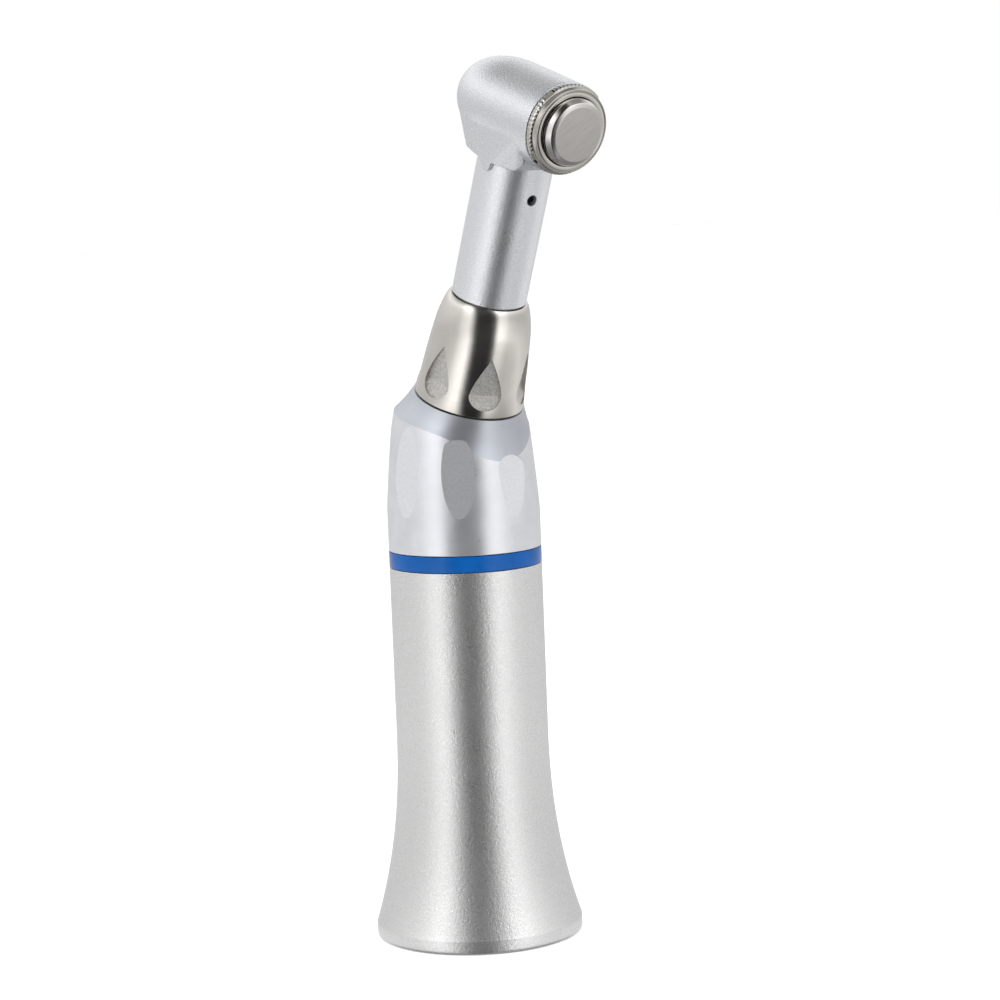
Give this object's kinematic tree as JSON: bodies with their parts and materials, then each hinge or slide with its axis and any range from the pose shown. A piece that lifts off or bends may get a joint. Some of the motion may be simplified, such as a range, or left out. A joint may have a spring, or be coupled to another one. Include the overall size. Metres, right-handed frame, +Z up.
{
  "type": "dental contra angle handpiece",
  "caption": "Dental contra angle handpiece: flared rear sheath, blue ring, twist lock collar, angled neck and a push-button head, with its whole gear train inside.",
  "frame": {"origin": "centre of the rear rim, on the handle axis, where the motor goes in", "axes": "+Z up the handle axis towards the bend, +X towards the push button, the side the neck leans to"},
  "size_m": [0.0328, 0.021, 0.0883],
  "materials": {
    "satin_aluminium": "bead-blasted satin aluminium",
    "body_aluminium": "fine satin aluminium",
    "blue_aluminium": "glossy blue coated aluminium",
    "nickel": "satin nickel plate",
    "polished_steel": "polished steel",
    "brushed_steel": "straight-brushed steel",
    "gear_steel": "hardened ground steel",
    "bearing_steel": "polished bearing steel",
    "spring_steel": "drawn spring steel",
    "bronze": "sintered bronze",
    "seal_rubber": "black sealing rubber"
  },
  "bodies": {
    "root": {"rear_sheath": "satin_aluminium", "blue_ring": "blue_aluminium", "front_body": "body_aluminium", "motor_socket_sleeve": "brushed_steel", "motor_snap_ring": "spring_steel", "body_seal_ring": "seal_rubber", "bearing_retaining_nut": "brushed_steel", "bearing_spacer": "brushed_steel", "preload_washer": "spring_steel", "head_socket": "brushed_steel", "collar_stop_pin": "brushed_steel", "collar_circlip": "spring_steel", "shaft_rear_bearing_outer_ring": "bearing_steel", "shaft_front_bearing_outer_ring": "bearing_steel"},
    "lock_collar": {"lock_collar": "nickel"},
    "rear_drive": {"drive_dog": "gear_steel", "rear_shaft": "gear_steel", "rear_crown_gear": "gear_steel", "shaft_rear_bearing_inner_ring": "bearing_steel", "shaft_front_bearing_inner_ring": "bearing_steel"},
    "rear_cages": {"shaft_rear_bearing_balls": "bearing_steel", "shaft_front_bearing_balls": "bearing_steel"},
    "head": {"neck_tube": "body_aluminium", "neck_seal_ring": "seal_rubber", "neck_bush": "bronze", "neck_locating_screw": "brushed_steel", "head_shell": "body_aluminium", "cap_ring": "polished_steel", "spring_seat_washer": "brushed_steel", "button_spring": "spring_steel", "neck_bearing_outer_ring": "bearing_steel", "bur_side_bearing_outer_ring": "bearing_steel", "button_side_bearing_outer_ring": "bearing_steel"},
    "neck_drive": {"neck_crown_gear": "gear_steel", "neck_shaft": "gear_steel", "neck_pinion": "gear_steel", "neck_bearing_inner_ring": "bearing_steel"},
    "neck_cage": {"neck_bearing_balls": "bearing_steel"},
    "chuck": {"chuck_spindle": "gear_steel", "chuck_gear": "gear_steel", "chuck_collet": "brushed_steel", "bur_side_bearing_inner_ring": "bearing_steel", "button_side_bearing_inner_ring": "bearing_steel"},
    "head_cages": {"bur_side_bearing_balls": "bearing_steel", "button_side_bearing_balls": "bearing_steel"},
    "push_button": {"push_button": "brushed_steel", "release_plunger": "gear_steel"}
  },
  "joints": [
    {"name": "collar_turn", "type": "hinge", "parent": "root", "child": "lock_collar", "pos_m": [0.00378, 0, 0.05983], "axis": [0.3778, 0, 0.9259], "range_deg": [0, 35]},
    {"name": "head_pull", "type": "slide", "parent": "root", "child": "head", "axis": [0.3778, 0, 0.9259], "range_m": [0, 0.013]},
    {"name": "rear_drive_spin", "type": "hinge", "parent": "root", "child": "rear_drive", "pos_m": [0, 0, 0.05057], "axis": [0, 0, 1], "continuous": true},
    {"name": "rear_cage_spin", "type": "hinge", "parent": "root", "child": "rear_cages", "pos_m": [0, 0, 0.05057], "axis": [0, 0, 1], "continuous": true},
    {"name": "neck_drive_spin", "type": "hinge", "parent": "head", "child": "neck_drive", "pos_m": [0, 0, 0.05057], "axis": [0.3778, 0, 0.9259], "continuous": true},
    {"name": "neck_cage_spin", "type": "hinge", "parent": "head", "child": "neck_cage", "pos_m": [0, 0, 0.05057], "axis": [0.3778, 0, 0.9259], "continuous": true},
    {"name": "chuck_spin", "type": "hinge", "parent": "head", "child": "chuck", "pos_m": [0.0132, 0, 0.08291], "axis": [0.9527, 0, -0.304], "continuous": true},
    {"name": "head_cage_spin", "type": "hinge", "parent": "head", "child": "head_cages", "pos_m": [0.0132, 0, 0.08291], "axis": [0.9527, 0, -0.304], "continuous": true},
    {"name": "button_press", "type": "slide", "parent": "head", "child": "push_button", "axis": [-0.9527, 0, 0.304], "range_m": [0, 0.0007], "stiffness_N_per_m": 3000, "springref_m": -0.0007, "deforming": ["button_spring"]}
  ],
  "couplings": [
    {"joint": "rear_cage_spin", "follows": "rear_drive_spin", "ratio": 0.3922},
    {"joint": "neck_drive_spin", "follows": "rear_drive_spin", "ratio": 1},
    {"joint": "neck_cage_spin", "follows": "rear_drive_spin", "ratio": 0.3986},
    {"joint": "chuck_spin", "follows": "rear_drive_spin", "ratio": -1},
    {"joint": "head_cage_spin", "follows": "rear_drive_spin", "ratio": -0.4259}
  ]
}
